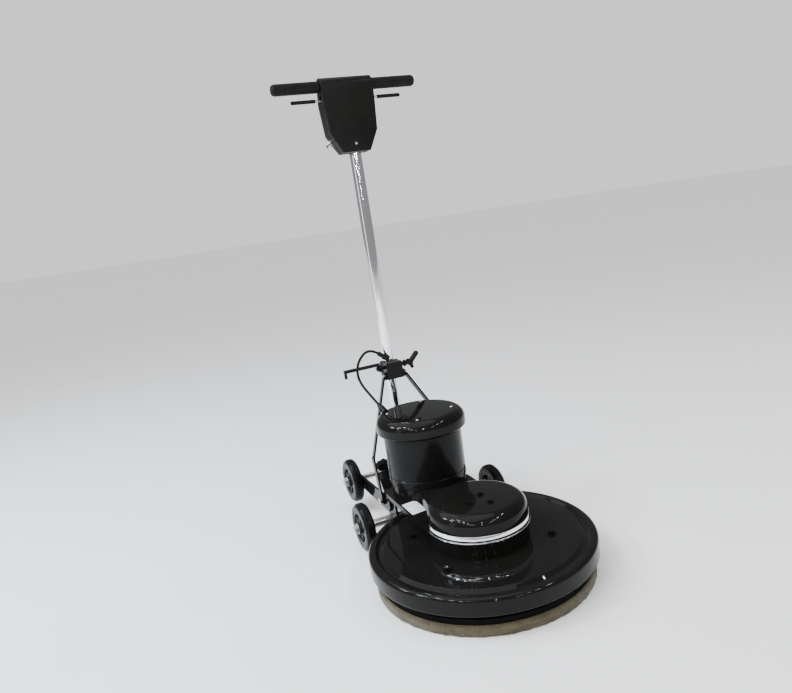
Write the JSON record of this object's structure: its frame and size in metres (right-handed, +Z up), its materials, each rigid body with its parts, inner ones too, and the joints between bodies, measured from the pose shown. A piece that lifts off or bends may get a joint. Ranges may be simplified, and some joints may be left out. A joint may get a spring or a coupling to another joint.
{
  "type": "rotary floor burnisher",
  "caption": "Corded high-speed rotary floor burnisher: round deck and polishing pad, belt-drive cover, vertical motor, wheels, and a braced tilting T-handle.",
  "frame": {"origin": "on the floor under the centre of the pad", "axes": "+Z up along the pad spindle, +X to the machine's left-hand side seen from the front, -Y forward, +Y back towards the operator"},
  "size_m": [0.532, 0.8755, 1.2234],
  "materials": {
    "black_gloss": "glossy black powder coat",
    "black_paint": "semi-gloss black paint",
    "black_satin": "satin moulded black",
    "chrome": "polished chrome plate",
    "zinc_steel": "zinc-plated steel",
    "aluminium": "cast and machined",
    "laminated_steel": "stacked laminations with windings",
    "black_plastic": "moulded black",
    "rubber": "matt black rubber",
    "pad_fibre": "tan natural-hair and polyester pad",
    "tyre": "black solid rubber",
    "wheel_grey": "moulded dark grey"
  },
  "bodies": {
    "chassis": {"deck_shroud": "black_gloss", "spindle_housing": "black_paint", "spindle_bearings": "zinc_steel", "deck_bolts": "black_paint", "frame_plate": "black_gloss", "rear_arms": "black_gloss", "front_axle": "zinc_steel", "rear_axle": "zinc_steel", "hub_nuts": "zinc_steel", "pivot_pin": "zinc_steel", "brace_bolts": "zinc_steel", "drive_belt": "rubber", "belt_cover": "black_gloss", "cover_band": "chrome", "cover_screws": "black_paint", "belt_guard": "black_gloss", "motor_base": "black_gloss", "motor_housing": "black_paint", "motor_end_bell": "aluminium", "motor_cap": "black_gloss", "motor_cord_gland": "black_plastic", "motor_stator": "laminated_steel", "motor_bearings": "zinc_steel"},
    "pad_spindle": {"spindle_shaft": "zinc_steel", "driven_pulley": "aluminium", "pad_driver": "black_plastic", "polishing_pad": "pad_fibre", "centre_lock": "black_plastic"},
    "motor_rotor": {"rotor_shaft": "zinc_steel", "rotor_core": "laminated_steel", "cooling_fan": "aluminium", "drive_pulley": "aluminium"},
    "wheel_front_left": {"front_left_tyre": "tyre", "front_left_rim": "wheel_grey"},
    "wheel_front_right": {"front_right_tyre": "tyre", "front_right_rim": "wheel_grey"},
    "wheel_rear_left": {"rear_left_tyre": "tyre", "rear_left_rim": "wheel_grey"},
    "wheel_rear_right": {"rear_right_tyre": "tyre", "rear_right_rim": "wheel_grey"},
    "handle": {"handle_foot": "black_paint", "handle_tube": "chrome", "grip_bar": "chrome", "grip_left": "rubber", "grip_right": "rubber", "housing_front": "black_satin", "housing_rear": "black_satin", "supply_gland": "chrome", "switch_box": "black_plastic", "tube_gland": "black_plastic", "motor_lead": "rubber"},
    "switch_lever": {"lever_rod": "zinc_steel", "lever_sleeves": "rubber"},
    "button": {"lock_button": "black_plastic"},
    "collar": {"collar": "black_paint"},
    "clamp_lever": {"cam_lever": "black_plastic"},
    "hook": {"cord_hook": "black_paint"},
    "braces": {"brace_left": "black_paint", "brace_right": "black_paint", "brace_pin": "zinc_steel"}
  },
  "joints": [
    {"name": "pad_spin", "type": "hinge", "parent": "chassis", "child": "pad_spindle", "pos_m": [0, 0, 0.09], "axis": [0, 0, 1], "continuous": true},
    {"name": "rotor_spin", "type": "hinge", "parent": "chassis", "child": "motor_rotor", "pos_m": [0, 0.271, 0.23], "axis": [0, 0, 1], "continuous": true},
    {"name": "front_left_spin", "type": "hinge", "parent": "chassis", "child": "wheel_front_left", "pos_m": [-0.194, 0.284, 0.0635], "axis": [1, 0, 0], "continuous": true},
    {"name": "front_right_spin", "type": "hinge", "parent": "chassis", "child": "wheel_front_right", "pos_m": [0.194, 0.284, 0.0635], "axis": [1, 0, 0], "continuous": true},
    {"name": "rear_left_spin", "type": "hinge", "parent": "chassis", "child": "wheel_rear_left", "pos_m": [-0.132, 0.546, 0.092], "axis": [1, 0, 0], "continuous": true},
    {"name": "rear_right_spin", "type": "hinge", "parent": "chassis", "child": "wheel_rear_right", "pos_m": [0.132, 0.546, 0.092], "axis": [1, 0, 0], "continuous": true},
    {"name": "handle_tilt", "type": "hinge", "parent": "chassis", "child": "handle", "pos_m": [0, 0.437, 0.155], "axis": [-1, 0, 0], "range_deg": [0, 25], "deforming": ["motor_lead"]},
    {"name": "brace_swing", "type": "hinge", "parent": "chassis", "child": "braces", "pos_m": [0, 0.33, 0.099], "axis": [-1, 0, 0], "range_deg": [0, 19.2]},
    {"name": "collar_slide", "type": "slide", "parent": "handle", "child": "collar", "axis": [0, 0.0323, 0.9995], "range_m": [-0.034, 0]},
    {"name": "cam_release", "type": "hinge", "parent": "collar", "child": "clamp_lever", "pos_m": [0.052, 0.42308, 0.4366], "axis": [0, 0.9995, -0.0323], "range_deg": [-60, 0]},
    {"name": "hook_swivel", "type": "hinge", "parent": "collar", "child": "hook", "pos_m": [-0.038, 0.42308, 0.4366], "axis": [1, 0, 0], "range_deg": [0, 180]},
    {"name": "lever_squeeze", "type": "hinge", "parent": "handle", "child": "switch_lever", "pos_m": [0, 0.48943, 1.15883], "axis": [-1, 0, 0], "range_deg": [0, 24], "stiffness_Nm_per_rad": 0.8, "springref_deg": -11.46},
    {"name": "button_press", "type": "slide", "parent": "handle", "child": "button", "axis": [0, -0.9995, 0.0323], "range_m": [0, 0.004], "stiffness_N_per_m": 300, "springref_m": -0.001}
  ],
  "couplings": [
    {"joint": "rotor_spin", "follows": "pad_spin", "ratio": 2.2857},
    {"joint": "brace_swing", "follows": "handle_tilt", "ratio": 0.7595},
    {"joint": "collar_slide", "follows": "handle_tilt", "m_per_rad": -0.07687}
  ]
}
